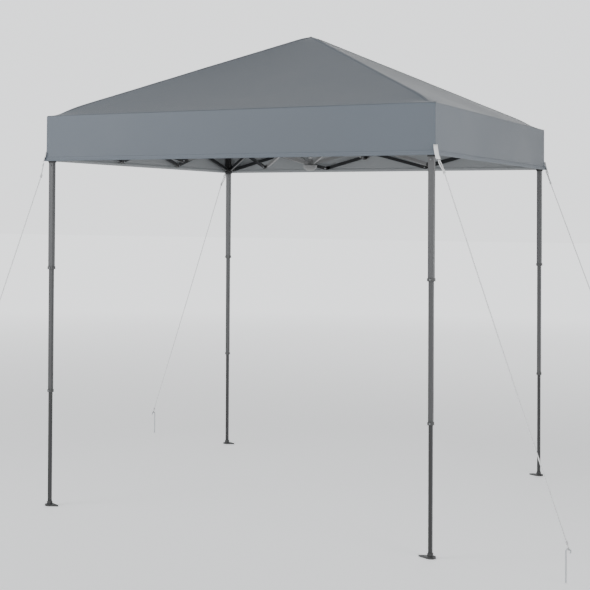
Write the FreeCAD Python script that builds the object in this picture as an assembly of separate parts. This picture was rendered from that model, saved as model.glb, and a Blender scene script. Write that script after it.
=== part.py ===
import FreeCAD, Part
import math
import os

# A square pop up gazebo that stands open on four telescopic legs.
# Lengths are millimetres.  The origin is on the floor under the middle of the roof, X runs
# along the front side to the right, Y runs away from the front, and Z is up.

V = FreeCAD.Vector

# ---- driving dimensions: the whole shelter ------------------------------------------------
LEG_SPACING = 1956.0
CANOPY_SIDE = 2000.0
EAVE_HEIGHT = 1938.0
VALANCE_DROP = 224.0
PEAK_HEIGHT = 2404.0
ROOF_THICKNESS = 1.5
VALANCE_THICKNESS = 1.5

# ---- driving dimensions: the scissor trusses ----------------------------------------------
BAR_LENGTH = 648.0          # between the end pivots of a side bar
CROSSES_PER_SIDE = 3
BRACKET_REACH = 40.0        # from a leg's axis to the pivots of the side bars
HUB_REACH = 25.0            # from the pole's axis to the pivots of the hub arms
TOP_PIVOT_HEIGHT = 1905.0
BAR_HEIGHT = 18.0
BAR_THICKNESS = 9.0
BAR_WALL = 1.0
LAYER_GAP = 1.0             # between the two bars that cross
RIVET_RADIUS = 3.0
RIVET_HOLE = 3.4
RIVET_SEAT = 3.05
HEAD_RADIUS = 6.0
HEAD_THICKNESS = 1.6
HEAD_GAP = 0.6

# ---- driving dimensions: the legs ---------------------------------------------------------
OUTER_TUBE = 25.0
MIDDLE_TUBE = 20.0
LOWER_TUBE = 16.0
TUBE_WALL = 1.2
UPPER_COLLAR_BOTTOM = 1175.0
LOWER_COLLAR_BOTTOM = 564.0
UPPER_COLLAR_HEIGHT = 14.0
LOWER_COLLAR_HEIGHT = 13.0
COLLAR_LEDGE = 4.0
COLLAR_WALL = 2.5
TUBE_OVERLAP = 120.0
PLUG_PAD = 6.0
PLUG_SPIGOT = 15.0
SLIDE_GAP = 0.5
PRESS_GAP = 0.1

# ---- driving dimensions: the corner brackets and sliders ----------------------------------
BRACKET_SIDE = 32.4
BRACKET_CORNER = 6.0
BRACKET_BELOW = 27.0
BRACKET_ABOVE = 27.0
SLIDER_HALF_HEIGHT = 28.5
SLIDER_BORE = 26.2
EAR_THICKNESS = 3.0
EAR_GAP = 0.6
HOLE_REACH = 20.0           # drills run this far to both sides of a bar or plate

# ---- driving dimensions: the feet ---------------------------------------------------------
FOOT_RADIUS = 24.0
FOOT_POINT = 52.0
FOOT_THICKNESS = 8.0
FOOT_SOCKET_HEIGHT = 22.0
FOOT_SOCKET_WALL = 3.0
STAKE_HOLE_RADIUS = 4.5
STAKE_HOLE_REACH = 33.0

# ---- driving dimensions: the hubs and the centre pole -------------------------------------
POLE_RADIUS = 9.0
POLE_WALL = 1.5
POLE_BORE_GAP = 0.6
BARREL_RADIUS = 14.5
CROWN_RADIUS = 40.0
CROWN_BELOW = 12.0
CROWN_ABOVE = 30.0
SLEEVE_BELOW = 48.0
DOME_RADIUS = 36.0
EAR_ROOT = 10.5
BARREL_ABOVE = 22.0
DOME_TOP = 12.0
DOME_HEIGHT = 30.0
STAR_LIFT = 60.0
STAR_REACH = 30.0
STAR_THICKNESS = 3.0
STAR_ARM = 10.0
STAR_BORE_GAP = 0.05
BUTTON_RADIUS = 7.0
BUTTON_DROP = 11.0
BUTTON_PROUD = 2.0
POLE_CAP_WALL = 12.0

# ---- driving dimensions: the guy ropes and pegs -------------------------------------------
ROPE_DIAMETER = 5.0
STRAP_WIDTH = 20.0
STRAP_TOP = 1780.0
STRAP_END = (1036.5, 990.0, 1639.5)
PEG_PLACE = (1564.0, 1075.0)
PEG_RADIUS = 3.5
PEG_SHANK = 130.0
PEG_HOOK_RADIUS = 9.0
PEG_HOOK_TIP = 8.0
STRAP_THICKNESS = 3.0

# ---- worked out from the above ------------------------------------------------------------
LEG_X = LEG_SPACING / 2.0
HALF_CANOPY = CANOPY_SIDE / 2.0
SIDE_SPAN = LEG_SPACING - 2.0 * BRACKET_REACH
BAR_ANGLE = math.acos(SIDE_SPAN / (CROSSES_PER_SIDE * BAR_LENGTH))
BAR_RUN = BAR_LENGTH * math.cos(BAR_ANGLE)
BAR_RISE = BAR_LENGTH * math.sin(BAR_ANGLE)
SLIDER_PIVOT_HEIGHT = TOP_PIVOT_HEIGHT - BAR_RISE

# A half diagonal has one cross at the corner and one at the hub.  All its bars keep the
# angle of the side bars, so each length below is a share of the side bar.
CORNER_DIAGONAL = math.sqrt(2.0) * LEG_X
DIAGONAL_REACH = math.sqrt(2.0) * BRACKET_REACH - HUB_REACH
HALF_BAR = BAR_LENGTH / 2.0
DIAGONAL_RUN = CORNER_DIAGONAL - DIAGONAL_REACH - HUB_REACH
CROSS_TO_NODE = (DIAGONAL_RUN / math.cos(BAR_ANGLE) - HALF_BAR) / 3.0
CORNER_BAR = HALF_BAR + CROSS_TO_NODE
HUB_BAR = 2.0 * CROSS_TO_NODE
CORNER_PIVOT_RADIUS = CORNER_DIAGONAL - DIAGONAL_REACH
NODE_RADIUS = CORNER_PIVOT_RADIUS - CORNER_BAR * math.cos(BAR_ANGLE)
LOW_NODE_HEIGHT = TOP_PIVOT_HEIGHT - CORNER_BAR * math.sin(BAR_ANGLE)
HIGH_NODE_HEIGHT = SLIDER_PIVOT_HEIGHT + CORNER_BAR * math.sin(BAR_ANGLE)
UPPER_HUB_HEIGHT = LOW_NODE_HEIGHT + HUB_BAR * math.sin(BAR_ANGLE)
LOWER_HUB_HEIGHT = HIGH_NODE_HEIGHT - HUB_BAR * math.sin(BAR_ANGLE)

END_RADIUS = BAR_HEIGHT / 2.0
LAYER_NEAR = LAYER_GAP / 2.0
LAYER_FAR = LAYER_NEAR + BAR_THICKNESS

# Each corner: name, sign of X, sign of Y.  Sides run anticlockwise seen from above.
CORNERS = (
    ("front_left", -1, -1),
    ("front_right", 1, -1),
    ("back_right", 1, 1),
    ("back_left", -1, 1),
)
# Each side: name, signs of its first leg's place, and its heading in degrees about Z.
SIDES = (
    ("front", -1, -1, 0.0),
    ("right", 1, -1, 90.0),
    ("back", 1, 1, 180.0),
    ("left", -1, 1, 270.0),
)


def write_node(name, solids):
    """Write one node's solids to its STEP file."""
    shape = solids[0] if len(solids) == 1 else Part.makeCompound(solids)
    if not shape.isValid():
        raise ValueError(name + " is not a valid shape")
    shape.exportStep("parts/" + name + ".step")


def block(x0, x1, y0, y1, z0, z1):
    """A box between two corners."""
    return Part.makeBox(x1 - x0, y1 - y0, z1 - z0, V(x0, y0, z0))


def square_block(side, z0, z1, corner=0.0):
    """An upright square block on the Z axis, with rounded upright edges."""
    half = side / 2.0
    solid = block(-half, half, -half, half, z0, z1)
    if corner > 0.0:
        upright = [e for e in solid.Edges if abs(e.BoundBox.ZLength - (z1 - z0)) < 1e-6]
        solid = solid.makeFillet(corner, upright)
    return solid


def square_tube(side, wall, z0, z1):
    """An upright square tube on the Z axis."""
    return square_block(side, z0, z1, wall).cut(square_block(side - 2.0 * wall, z0 - 1, z1 + 1))


def turned(solid, heading, x, y):
    """Turn a solid about Z by a heading in degrees, then move it to x, y."""
    turn = FreeCAD.Rotation(V(0, 0, 1), heading)
    return solid.transformed(FreeCAD.Placement(V(x, y, 0), turn).toMatrix())


def layer_limits(side):
    """The two faces of the bar layer on one side of a truss's middle plane."""
    return (LAYER_NEAR, LAYER_FAR) if side > 0 else (-LAYER_FAR, -LAYER_NEAR)


def rivet(near, far):
    """A rivet along Y, whose heads start at the two given faces."""
    shank = Part.makeCylinder(RIVET_RADIUS, far - near, V(0, near, 0), V(0, 1, 0))
    near_head = Part.makeCylinder(HEAD_RADIUS, HEAD_THICKNESS, V(0, near - HEAD_THICKNESS, 0), V(0, 1, 0))
    far_head = Part.makeCylinder(HEAD_RADIUS, HEAD_THICKNESS, V(0, far, 0), V(0, 1, 0))
    return shank.fuse([near_head, far_head]).removeSplitter()


def bar_rivet(side):
    """The rivet of a bar in the given layer: one head sits on the bar, the other is just
    clear of the bar that turns on it."""
    if side > 0:
        return rivet(-LAYER_FAR - HEAD_GAP, LAYER_FAR)
    return rivet(-LAYER_FAR, LAYER_FAR + HEAD_GAP)


def flat_bar(length, side, loose_pivots, riveted_pivots):
    """A rectangular steel tube along X with rounded ends, drilled at its pivots.  Loose
    pivots turn on another piece's rivet, and riveted ones carry the bar's own rivet."""
    y0, y1 = layer_limits(side)
    body = block(0, length, y0, y1, -END_RADIUS, END_RADIUS)
    ends = [
        Part.makeCylinder(END_RADIUS, BAR_THICKNESS, V(x, y0, 0), V(0, 1, 0)) for x in (0, length)
    ]
    body = body.fuse(ends).removeSplitter()
    hollow = block(
        -END_RADIUS - 1,
        length + END_RADIUS + 1,
        y0 + BAR_WALL,
        y1 - BAR_WALL,
        -END_RADIUS + BAR_WALL,
        END_RADIUS - BAR_WALL,
    )
    cutters = [hollow]
    for x in loose_pivots:
        cutters.append(Part.makeCylinder(RIVET_HOLE, 2 * HOLE_REACH, V(x, -HOLE_REACH, 0), V(0, 1, 0)))
    for x in riveted_pivots:
        cutters.append(Part.makeCylinder(RIVET_SEAT, 2 * HOLE_REACH, V(x, -HOLE_REACH, 0), V(0, 1, 0)))
    solids = [body.cut(cutters)]
    for x in riveted_pivots:
        solids.append(bar_rivet(side).translated(V(x, 0, 0)))
    return solids


def tilted(solids, start, rise_angle):
    """Tilt solids that lie along X up by an angle, and move them to (x, z)."""
    turn = FreeCAD.Rotation(V(0, 1, 0), -math.degrees(rise_angle))
    matrix = FreeCAD.Placement(V(start[0], 0, start[1]), turn).toMatrix()
    return [solid.transformed(matrix) for solid in solids]


def ear_pair(reach, side, pivot_z, root, web_top=None):
    """Two ears and their rivet, for a bar in the given layer that starts at x = reach.
    Ears with a web top are filled up to that height.  Returns the ears and the rivet apart."""
    y0, y1 = layer_limits(side)
    faces = ((y0 - EAR_GAP - EAR_THICKNESS, y0 - EAR_GAP), (y1 + EAR_GAP, y1 + EAR_GAP + EAR_THICKNESS))
    ears = []
    for low, high in faces:
        ear = block(root, reach, low, high, pivot_z - END_RADIUS, pivot_z + END_RADIUS)
        if web_top is not None:
            ear = ear.fuse(block(root, reach + END_RADIUS, low, high, pivot_z, web_top))
        tip = Part.makeCylinder(END_RADIUS, EAR_THICKNESS, V(reach, low, pivot_z), V(0, 1, 0))
        hole = Part.makeCylinder(RIVET_SEAT, EAR_THICKNESS + 2, V(reach, low - 1, pivot_z), V(0, 1, 0))
        ears.append(ear.fuse(tip).cut(hole))
    pin = rivet(faces[0][0], faces[1][1]).translated(V(reach, 0, pivot_z))
    return ears, pin


def corner_ears(pivot_z, start_side):
    """Ears of one corner, for a leg whose first side runs along +X and whose second runs
    along +Y.  The layers swap between the top bracket and the slider."""
    ears = []
    pins = []
    places = (
        (0.0, BRACKET_REACH, start_side),
        (90.0, BRACKET_REACH, start_side),
        (45.0, DIAGONAL_REACH, start_side),
    )
    for heading, reach, side in places:
        pair, pin = ear_pair(reach, side, pivot_z, BRACKET_SIDE / 4.0)
        ears.extend(turned(ear, heading, 0, 0) for ear in pair)
        pins.append(turned(pin, heading, 0, 0))
    return ears, pins


def corner_heading(sign_x, sign_y):
    """The turn that points a corner's first side along the side that starts at its leg."""
    return {(-1, -1): 0.0, (1, -1): 90.0, (1, 1): 180.0, (-1, 1): 270.0}[(sign_x, sign_y)]


def outer_leg():
    """The top tube of a leg, its top bracket and the collar at its lower end."""
    top = TOP_PIVOT_HEIGHT + BRACKET_ABOVE
    tube_top = top - COLLAR_LEDGE
    tube_bottom = UPPER_COLLAR_BOTTOM + COLLAR_LEDGE
    tube = square_tube(OUTER_TUBE, TUBE_WALL, tube_bottom, tube_top)
    bracket = square_block(BRACKET_SIDE, TOP_PIVOT_HEIGHT - BRACKET_BELOW, top, BRACKET_CORNER)
    ears, pins = corner_ears(TOP_PIVOT_HEIGHT, -1)
    bracket = bracket.fuse(ears)
    seat = square_block(OUTER_TUBE + 2 * PRESS_GAP, TOP_PIVOT_HEIGHT - BRACKET_BELOW - 1, tube_top)
    bracket = bracket.cut(seat).removeSplitter()
    return [tube, bracket, collar(OUTER_TUBE, MIDDLE_TUBE, UPPER_COLLAR_BOTTOM, UPPER_COLLAR_HEIGHT)] + pins


def collar(tube, inner_tube, bottom, height):
    """A moulded collar at a tube's lower end, with a ledge round the tube that slides in it."""
    body = square_block(tube + 2 * COLLAR_WALL, bottom, bottom + height, COLLAR_WALL)
    seat = square_block(tube + 2 * PRESS_GAP, bottom + COLLAR_LEDGE, bottom + height + 1)
    bore = square_block(inner_tube + 2 * SLIDE_GAP, bottom - 1, bottom + height)
    return body.cut([seat, bore])


def slider():
    """The sleeve that runs on the outer tube and carries the lower ends of the truss."""
    low = SLIDER_PIVOT_HEIGHT - SLIDER_HALF_HEIGHT
    high = SLIDER_PIVOT_HEIGHT + SLIDER_HALF_HEIGHT
    sleeve = square_block(BRACKET_SIDE, low, high, BRACKET_CORNER)
    ears, pins = corner_ears(SLIDER_PIVOT_HEIGHT, 1)
    bore = square_block(SLIDER_BORE, low - 1, high + 1)
    return [sleeve.fuse(ears).cut(bore).removeSplitter()] + pins


def end_plug(bore, slide_bore, top):
    """The plug at the top end of a sliding tube: a guide pad over a spigot in the tube."""
    pad = square_block(slide_bore - 2 * SLIDE_GAP, top, top + PLUG_PAD)
    spigot = square_block(bore - 2 * PRESS_GAP, top - PLUG_SPIGOT, top)
    return pad.fuse(spigot).removeSplitter()


def middle_leg():
    """The middle tube of a leg, its guide plug and the collar at its lower end."""
    top = UPPER_COLLAR_BOTTOM + TUBE_OVERLAP
    tube = square_tube(MIDDLE_TUBE, TUBE_WALL, LOWER_COLLAR_BOTTOM + COLLAR_LEDGE, top)
    plug = end_plug(MIDDLE_TUBE - 2 * TUBE_WALL, OUTER_TUBE - 2 * TUBE_WALL, top)
    return [tube, plug, collar(MIDDLE_TUBE, LOWER_TUBE, LOWER_COLLAR_BOTTOM, LOWER_COLLAR_HEIGHT)]


def foot():
    """A flat foot, round under the leg and drawn out to a point, with the socket that holds
    the lower tube and a hole for a stake.  The point lies along +X."""
    reach = FOOT_RADIUS * FOOT_RADIUS / FOOT_POINT
    width = math.sqrt(FOOT_RADIUS * FOOT_RADIUS - reach * reach)
    outline = Part.Wire(
        [
            Part.LineSegment(V(reach, -width, 0), V(FOOT_POINT, 0, 0)).toShape(),
            Part.LineSegment(V(FOOT_POINT, 0, 0), V(reach, width, 0)).toShape(),
            Part.Arc(V(reach, width, 0), V(-FOOT_RADIUS, 0, 0), V(reach, -width, 0)).toShape(),
        ]
    )
    plate = Part.Face(outline).extrude(V(0, 0, FOOT_THICKNESS))
    socket = square_block(LOWER_TUBE + 2 * FOOT_SOCKET_WALL, 0, FOOT_SOCKET_HEIGHT, FOOT_SOCKET_WALL)
    seat = square_block(LOWER_TUBE + 2 * PRESS_GAP, COLLAR_LEDGE, FOOT_SOCKET_HEIGHT + 1)
    stake = Part.makeCylinder(STAKE_HOLE_RADIUS, FOOT_THICKNESS + 2, V(STAKE_HOLE_REACH, 0, -1))
    return plate.fuse(socket).cut([seat, stake]).removeSplitter()


def lower_leg():
    """The lower tube of a leg, its guide plug and its foot."""
    top = LOWER_COLLAR_BOTTOM + TUBE_OVERLAP
    tube = square_tube(LOWER_TUBE, TUBE_WALL, COLLAR_LEDGE, top)
    plug = end_plug(LOWER_TUBE - 2 * TUBE_WALL, MIDDLE_TUBE - 2 * TUBE_WALL, top)
    return [tube, plug, foot()]


def write_corners():
    """The legs and the sliders.  The feet point inwards along X, and everything else turns
    with its corner."""
    for name, sign_x, sign_y in CORNERS:
        x = sign_x * LEG_X
        y = sign_y * LEG_X
        heading = corner_heading(sign_x, sign_y)
        foot_heading = 0.0 if sign_x < 0 else 180.0
        write_node("leg_outer_" + name, [turned(s, heading, x, y) for s in outer_leg()])
        write_node("leg_slider_" + name, [turned(s, heading, x, y) for s in slider()])
        write_node("leg_middle_" + name, [turned(s, heading, x, y) for s in middle_leg()])
        write_node("leg_lower_" + name, [turned(s, foot_heading, x, y) for s in lower_leg()])


def write_side_bars():
    """Three crosses on each side.  The bars that fall along the side are in the outer layer
    and the bars that climb are in the inner one."""
    for name, sign_x, sign_y, heading in SIDES:
        for cross in range(CROSSES_PER_SIDE):
            x = BRACKET_REACH + cross * BAR_RUN
            last = cross == CROSSES_PER_SIDE - 1
            end_rivet = [] if last else [BAR_LENGTH]
            end_hole = [BAR_LENGTH] if last else []
            falling = flat_bar(BAR_LENGTH, -1, [0] + end_hole, [HALF_BAR] + end_rivet)
            falling = tilted(falling, (x, TOP_PIVOT_HEIGHT), -BAR_ANGLE)
            climbing = flat_bar(BAR_LENGTH, 1, [0, HALF_BAR] + end_hole, end_rivet)
            climbing = tilted(climbing, (x, SLIDER_PIVOT_HEIGHT), BAR_ANGLE)
            for kind, bar in (("falling", falling), ("climbing", climbing)):
                placed = [turned(s, heading, sign_x * LEG_X, sign_y * LEG_X) for s in bar]
                write_node(name + "_bar_" + str(cross + 1) + "_" + kind, placed)


def write_diagonal_bars():
    """Four bars from each leg to the hubs.  X runs from the leg to the pole here."""
    corner_x = DIAGONAL_REACH
    hub_x = CORNER_DIAGONAL - HUB_REACH
    node_x = CORNER_DIAGONAL - NODE_RADIUS
    outer_falling = flat_bar(CORNER_BAR, -1, [0], [HALF_BAR, CORNER_BAR])
    outer_climbing = flat_bar(CORNER_BAR, 1, [0, HALF_BAR], [CORNER_BAR])
    inner_climbing = flat_bar(HUB_BAR, 1, [0, HUB_BAR], [CROSS_TO_NODE])
    inner_falling = flat_bar(HUB_BAR, -1, [0, CROSS_TO_NODE, HUB_BAR], [])
    bars = (
        ("outer_falling", tilted(outer_falling, (corner_x, TOP_PIVOT_HEIGHT), -BAR_ANGLE)),
        ("outer_climbing", tilted(outer_climbing, (corner_x, SLIDER_PIVOT_HEIGHT), BAR_ANGLE)),
        ("inner_climbing", tilted(inner_climbing, (node_x, LOW_NODE_HEIGHT), BAR_ANGLE)),
        ("inner_falling", tilted(inner_falling, (node_x, HIGH_NODE_HEIGHT), -BAR_ANGLE)),
    )
    for name, sign_x, sign_y in CORNERS:
        heading = corner_heading(sign_x, sign_y) + 45.0
        for kind, bar in bars:
            placed = [turned(s, heading, sign_x * LEG_X, sign_y * LEG_X) for s in bar]
            write_node("diagonal_" + kind + "_" + name, placed)


def hub_ears(pivot_z, side, web_top=None):
    """Four pairs of ears round a hub, for arms in the given layer of their own truss.  The
    trusses are drawn from the leg to the pole, so the layer changes sign here."""
    ears = []
    pins = []
    for corner in range(4):
        pair, pin = ear_pair(HUB_REACH, -side, pivot_z, EAR_ROOT, web_top)
        heading = 45.0 + 90.0 * corner
        ears.extend(turned(ear, heading, 0, 0) for ear in pair)
        pins.append(turned(pin, heading, 0, 0))
    return ears, pins


def upper_hub():
    """The hub that the upper arms hang from: a crown over four pairs of ears, on a sleeve
    that the pole slides through."""
    low = UPPER_HUB_HEIGHT - SLEEVE_BELOW
    high = UPPER_HUB_HEIGHT + CROWN_ABOVE
    sleeve = Part.makeCylinder(BARREL_RADIUS, high - low, V(0, 0, low))
    crown_height = CROWN_ABOVE - CROWN_BELOW
    crown = Part.makeCylinder(CROWN_RADIUS, crown_height, V(0, 0, UPPER_HUB_HEIGHT + CROWN_BELOW))
    ears, pins = hub_ears(UPPER_HUB_HEIGHT, 1, UPPER_HUB_HEIGHT + CROWN_BELOW)
    bore_length = high - low + 2 * HOLE_REACH
    bore = Part.makeCylinder(POLE_RADIUS + POLE_BORE_GAP, bore_length, V(0, 0, low - HOLE_REACH))
    body = sleeve.fuse([crown] + ears).cut(bore).removeSplitter()
    return [body] + pins


def lower_hub():
    """The hub at the pole's foot, with its dome, release button, star plate and the pole."""
    low = LOWER_HUB_HEIGHT - DOME_TOP
    barrel_height = DOME_TOP + BARREL_ABOVE
    barrel = Part.makeCylinder(BARREL_RADIUS, barrel_height, V(0, 0, low))
    dome = Part.makeSphere(DOME_RADIUS, V(0, 0, 0), V(0, 0, 1), -90, 0, 360)
    squeeze = FreeCAD.Matrix()
    squeeze.scale(1.0, 1.0, DOME_HEIGHT / DOME_RADIUS)
    dome = dome.transformGeometry(squeeze).translated(V(0, 0, low))
    ears, pins = hub_ears(LOWER_HUB_HEIGHT, -1)
    socket = Part.makeCylinder(POLE_RADIUS + PRESS_GAP, barrel_height + HOLE_REACH, V(0, 0, low))
    button_place = V(0, 0, low - BUTTON_DROP)
    seat_radius = BUTTON_RADIUS + PRESS_GAP
    button_seat = Part.makeCylinder(seat_radius, DOME_RADIUS + HOLE_REACH, button_place, V(0, 1, 0))
    body = barrel.fuse([dome] + ears).cut([socket, button_seat]).removeSplitter()
    button_length = DOME_RADIUS + BUTTON_PROUD
    button = Part.makeCylinder(BUTTON_RADIUS, button_length, button_place, V(0, 1, 0))
    return [body, button] + pins + [pole(low), star_plate()]


def pole(low):
    """The centre pole, a round tube with a domed cap that holds the fabric up."""
    top = PEAK_HEIGHT - 2 * ROOF_THICKNESS - POLE_RADIUS
    tube = Part.makeCylinder(POLE_RADIUS, top - low, V(0, 0, low))
    bore = Part.makeCylinder(POLE_RADIUS - POLE_WALL, top - low - POLE_CAP_WALL, V(0, 0, low))
    cap = Part.makeSphere(POLE_RADIUS, V(0, 0, top), V(0, 0, 1), 0, 90, 360)
    return tube.cut(bore).fuse(cap).removeSplitter()


def star_plate():
    """The flat star on the pole, with four short arms between the trusses."""
    z = LOWER_HUB_HEIGHT + STAR_LIFT
    top = z + STAR_THICKNESS
    half_arm = STAR_ARM / 2.0
    disc = Part.makeCylinder(BARREL_RADIUS, STAR_THICKNESS, V(0, 0, z))
    arms = [
        block(-STAR_REACH, STAR_REACH, -half_arm, half_arm, z, top),
        block(-half_arm, half_arm, -STAR_REACH, STAR_REACH, z, top),
    ]
    bore = Part.makeCylinder(POLE_RADIUS + STAR_BORE_GAP, 2 * HOLE_REACH, V(0, 0, z - HOLE_REACH))
    return disc.fuse(arms).cut(bore).removeSplitter()


def solid_from_faces(corner_lists):
    """A closed solid from flat faces, each a list of its corners."""
    faces = [Part.Face(Part.makePolygon(list(c) + [c[0]])) for c in corner_lists]
    solid = Part.makeSolid(Part.makeShell(faces))
    return solid if solid.Volume > 0 else solid.reversed()


def roof_panel():
    """One quarter of the pyramid roof, mitred along the hips: the front one."""
    slope = (PEAK_HEIGHT - EAVE_HEIGHT) / HALF_CANOPY
    inner = HALF_CANOPY - ROOF_THICKNESS / slope
    peak = V(0, 0, PEAK_HEIGHT)
    left = V(-HALF_CANOPY, -HALF_CANOPY, EAVE_HEIGHT)
    right = V(HALF_CANOPY, -HALF_CANOPY, EAVE_HEIGHT)
    inner_peak = V(0, 0, PEAK_HEIGHT - ROOF_THICKNESS)
    inner_left = V(-inner, -inner, EAVE_HEIGHT)
    inner_right = V(inner, -inner, EAVE_HEIGHT)
    return solid_from_faces(
        (
            (peak, left, right),
            (inner_peak, inner_right, inner_left),
            (peak, inner_peak, inner_left, left),
            (peak, right, inner_right, inner_peak),
            (left, inner_left, inner_right, right),
        )
    )


def valance_panel():
    """One of the four hanging sides, mitred at the corners: the front one."""
    outer = HALF_CANOPY
    inner = HALF_CANOPY - VALANCE_THICKNESS
    outline = Part.makePolygon(
        [
            V(-outer, -outer, 0),
            V(outer, -outer, 0),
            V(inner, -inner, 0),
            V(-inner, -inner, 0),
            V(-outer, -outer, 0),
        ]
    )
    bottom = EAVE_HEIGHT - VALANCE_DROP
    return Part.Face(outline).extrude(V(0, 0, VALANCE_DROP)).translated(V(0, 0, bottom))


def corner_strap():
    """The webbing strap at the front right corner, which slants out to the guy rope."""
    x, y, z = STRAP_END
    outline = Part.makePolygon(
        [
            V(HALF_CANOPY, -y, STRAP_TOP),
            V(x - STRAP_THICKNESS / 2, -y, z),
            V(x + STRAP_THICKNESS / 2, -y, z),
            V(HALF_CANOPY + STRAP_THICKNESS, -y, STRAP_TOP),
            V(HALF_CANOPY, -y, STRAP_TOP),
        ]
    )
    return Part.Face(outline).extrude(V(0, STRAP_WIDTH, 0)).translated(V(0, -STRAP_WIDTH / 2, 0))


def mirrored_to_corners(solids):
    """Copies of the front right corner's solids at all four corners."""
    copies = []
    for sign_x, sign_y in ((1, 1), (-1, 1), (1, -1), (-1, -1)):
        for solid in solids:
            copy = solid
            if sign_x < 0:
                copy = copy.mirror(V(0, 0, 0), V(1, 0, 0))
            if sign_y < 0:
                copy = copy.mirror(V(0, 0, 0), V(0, 1, 0))
            copies.append(copy)
    return copies


def write_canopy():
    """The fabric roof, its valance and the straps at its corners."""
    panels = []
    for quarter in range(4):
        panels.append(turned(roof_panel(), 90.0 * quarter, 0, 0))
        panels.append(turned(valance_panel(), 90.0 * quarter, 0, 0))
    write_node("canopy", panels + mirrored_to_corners([corner_strap()]))


def peg():
    """A wire peg that stands upright, with a hook at its top that opens downwards."""
    x, y = PEG_PLACE
    shank = Part.makeCylinder(PEG_RADIUS, PEG_SHANK, V(x, -y, 0))
    hook_middle = V(x + PEG_HOOK_RADIUS, -y, PEG_SHANK)
    ring = Part.makeTorus(PEG_HOOK_RADIUS, PEG_RADIUS, hook_middle, V(0, 1, 0))
    room = 2 * PEG_HOOK_RADIUS
    upper = block(x - room, x + 2 * room, -y - room, -y + room, PEG_SHANK, PEG_SHANK + room)
    tip_place = V(x + 2 * PEG_HOOK_RADIUS, -y, PEG_SHANK - PEG_HOOK_TIP)
    tip = Part.makeCylinder(PEG_RADIUS, PEG_HOOK_TIP, tip_place)
    return shank.fuse([ring.common(upper), tip]).removeSplitter()


def guy_rope():
    """A taut rope from the strap's end to the top of the peg's hook."""
    x, y, z = STRAP_END
    start = V(x, -y, z)
    hook_top = PEG_SHANK + PEG_HOOK_RADIUS + PEG_RADIUS
    end = V(PEG_PLACE[0] + PEG_HOOK_RADIUS, -PEG_PLACE[1], hook_top + ROPE_DIAMETER / 2)
    run = end - start
    print("guy rope: straight, length", round(run.Length, 1), "no bends")
    return Part.makeCylinder(ROPE_DIAMETER / 2, run.Length, start, run)


def write_guy_ropes():
    """The four guy ropes and the pegs that hold them."""
    write_node("guy_ropes_and_pegs", mirrored_to_corners([guy_rope(), peg()]))


os.makedirs("parts", exist_ok=True)
write_corners()
write_side_bars()
write_diagonal_bars()
write_node("upper_hub", upper_hub())
write_node("lower_hub", lower_hub())
write_canopy()
write_guy_ropes()
print("bar angle", round(math.degrees(BAR_ANGLE), 3), "rise", round(BAR_RISE, 2))
print("slider pivot", round(SLIDER_PIVOT_HEIGHT, 2), "node radius", round(NODE_RADIUS, 2))
print("hub pivots", round(UPPER_HUB_HEIGHT, 2), round(LOWER_HUB_HEIGHT, 2))
print("corner bar", round(CORNER_BAR, 2), "hub bar", round(HUB_BAR, 2), "reach", round(DIAGONAL_REACH, 2))
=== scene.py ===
import math

import bpy
import numpy as np
from mathutils import Matrix, Vector, noise


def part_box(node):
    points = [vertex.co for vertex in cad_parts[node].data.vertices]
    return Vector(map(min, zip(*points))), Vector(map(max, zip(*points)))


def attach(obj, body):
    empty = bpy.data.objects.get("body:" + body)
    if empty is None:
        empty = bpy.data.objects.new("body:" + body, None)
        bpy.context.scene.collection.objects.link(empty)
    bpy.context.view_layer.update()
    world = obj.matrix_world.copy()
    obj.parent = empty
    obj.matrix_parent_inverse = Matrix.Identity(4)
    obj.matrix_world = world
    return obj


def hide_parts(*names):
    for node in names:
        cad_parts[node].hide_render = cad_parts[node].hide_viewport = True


# A square pop up gazebo: folding steel frame, pyramid fabric roof and corner guy ropes.
# Lengths are metres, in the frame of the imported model.

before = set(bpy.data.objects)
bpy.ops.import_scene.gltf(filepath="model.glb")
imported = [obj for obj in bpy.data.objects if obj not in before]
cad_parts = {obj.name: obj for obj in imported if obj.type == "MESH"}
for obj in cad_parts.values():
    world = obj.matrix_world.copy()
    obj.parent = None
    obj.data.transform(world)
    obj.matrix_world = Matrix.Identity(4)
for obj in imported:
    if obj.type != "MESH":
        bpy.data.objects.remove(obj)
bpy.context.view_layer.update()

CORNERS = {
    "front_left": (-1, -1),
    "front_right": (1, -1),
    "back_right": (1, 1),
    "back_left": (-1, 1),
}
# Each side's heading, along which its bars are numbered.
SIDES = {
    "front": Vector((1, 0, 0)),
    "right": Vector((0, 1, 0)),
    "back": Vector((-1, 0, 0)),
    "left": Vector((0, -1, 0)),
}

# ---- the shelter's main sizes ---------------------------------------------------------------
LEG = sum(corner.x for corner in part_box("leg_middle_front_right")) / 2
HALF_CANOPY = 1.0
EAVE = 1.938
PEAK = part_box("canopy")[1].z
VALANCE_BOTTOM = 1.714
VALANCE_DROP = EAVE - VALANCE_BOTTOM
ROOF_SLOPE = math.hypot(HALF_CANOPY, PEAK - EAVE)
FABRIC = 0.0009

# ---- a leg's fittings; a collar is given by its lowest and highest points -------------------
OUTER_HALF = 0.0125
MIDDLE_HALF = 0.010
COLLAR_WALL = 0.0025
UPPER_COLLAR = (1.175, 1.189)
LOWER_COLLAR = (0.564, 0.577)
SLIDER_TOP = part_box("leg_slider_front_right")[1].z
SLIDER_BUTTON = 1.694
SNAP_RADIUS = 0.0038
FOOT_BOTTOM = -0.01         # just under the floor, so that the band of plastic takes in the foot
FOOT_TOP = 0.022

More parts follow.
